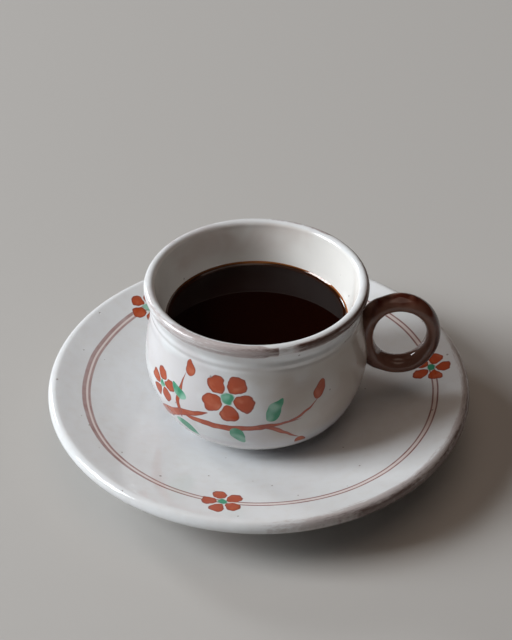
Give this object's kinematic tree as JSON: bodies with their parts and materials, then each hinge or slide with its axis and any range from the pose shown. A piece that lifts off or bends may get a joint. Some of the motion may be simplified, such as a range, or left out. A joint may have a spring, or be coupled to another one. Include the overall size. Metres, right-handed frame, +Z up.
{
  "type": "cup of black coffee on a saucer",
  "caption": "Small pot-bellied stoneware cup with a rolled lip and a ring handle, filled with black coffee, standing on a shallow thick-edged saucer with a foot ring.",
  "frame": {"origin": "centre of the saucer's foot ring, on the table", "axes": "+Z up along the saucer's axis; the cup's ring handle points along +X"},
  "size_m": [0.15, 0.15, 0.0635],
  "materials": {
    "glaze_white": "glossy off-white stoneware glaze with iron-brown washes and painted red and green strokes",
    "black_coffee": "still, clear, almost black liquid"
  },
  "bodies": {
    "root": {"saucer": "glaze_white", "cup": "glaze_white", "coffee": "black_coffee"}
  },
  "joints": []
}
